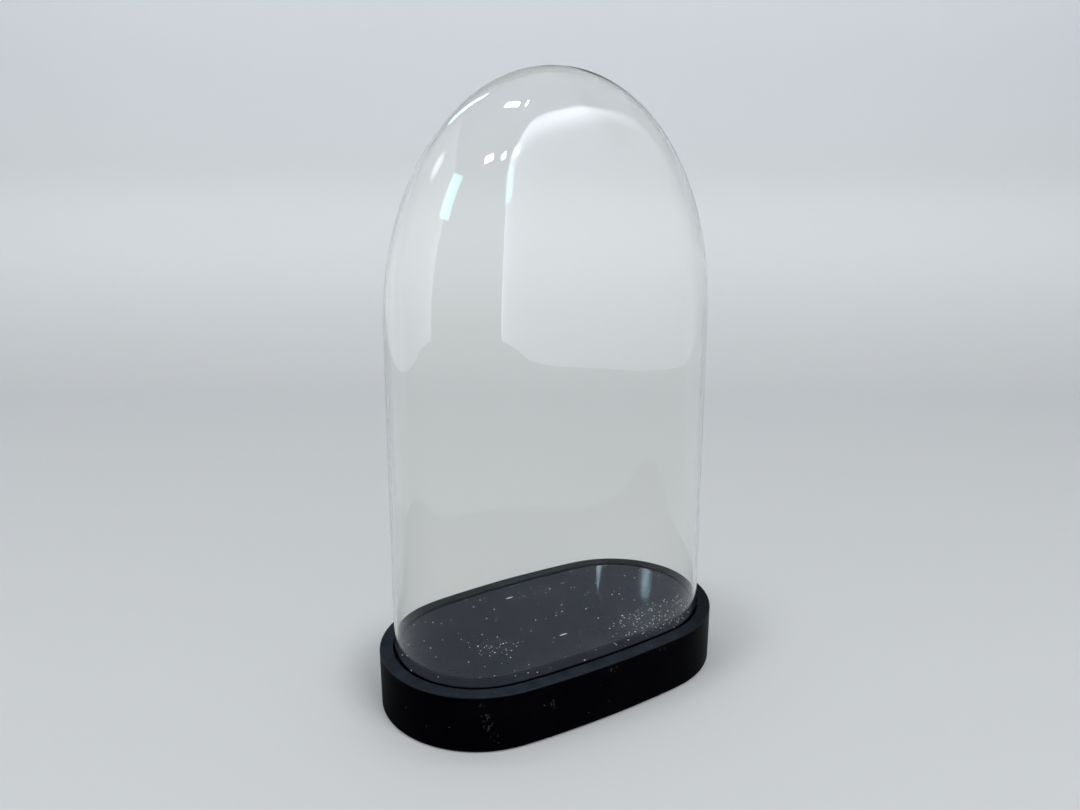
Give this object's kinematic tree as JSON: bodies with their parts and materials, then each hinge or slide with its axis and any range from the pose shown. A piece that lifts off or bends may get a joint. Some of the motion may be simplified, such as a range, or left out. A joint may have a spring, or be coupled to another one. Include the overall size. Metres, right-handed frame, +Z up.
{
  "type": "bell jar dome",
  "caption": "Oval blown-glass display dome that stands loose in the groove of a black painted wooden base and lifts off to reach the exhibit.",
  "frame": {"origin": "centre of the underside, on the plane of the foot pads", "axes": "+X along the length of the oval, +Y across its width, +Z up through the crown of the glass"},
  "size_m": [0.317, 0.18, 0.52],
  "materials": {
    "clear_glass": "clear, faintly green",
    "black_paint": "black eggshell paint, worn",
    "black_paint_floor": "black eggshell paint, dusty",
    "bare_pine": "unfinished",
    "black_felt": "felt",
    "screw_steel": "plain"
  },
  "bodies": {
    "base": {"rim_hoop": "black_paint", "display_floor": "black_paint_floor", "carrier_board": "bare_pine", "groove_felt": "black_felt", "floor_screws": "screw_steel", "glue_blocks": "bare_pine", "foot_pads": "black_felt"},
    "dome": {"glass_dome": "clear_glass"}
  },
  "joints": [
    {"name": "dome_lift", "type": "slide", "parent": "base", "child": "dome", "axis": [0, 0, 1], "range_m": [0, 0.48]}
  ]
}
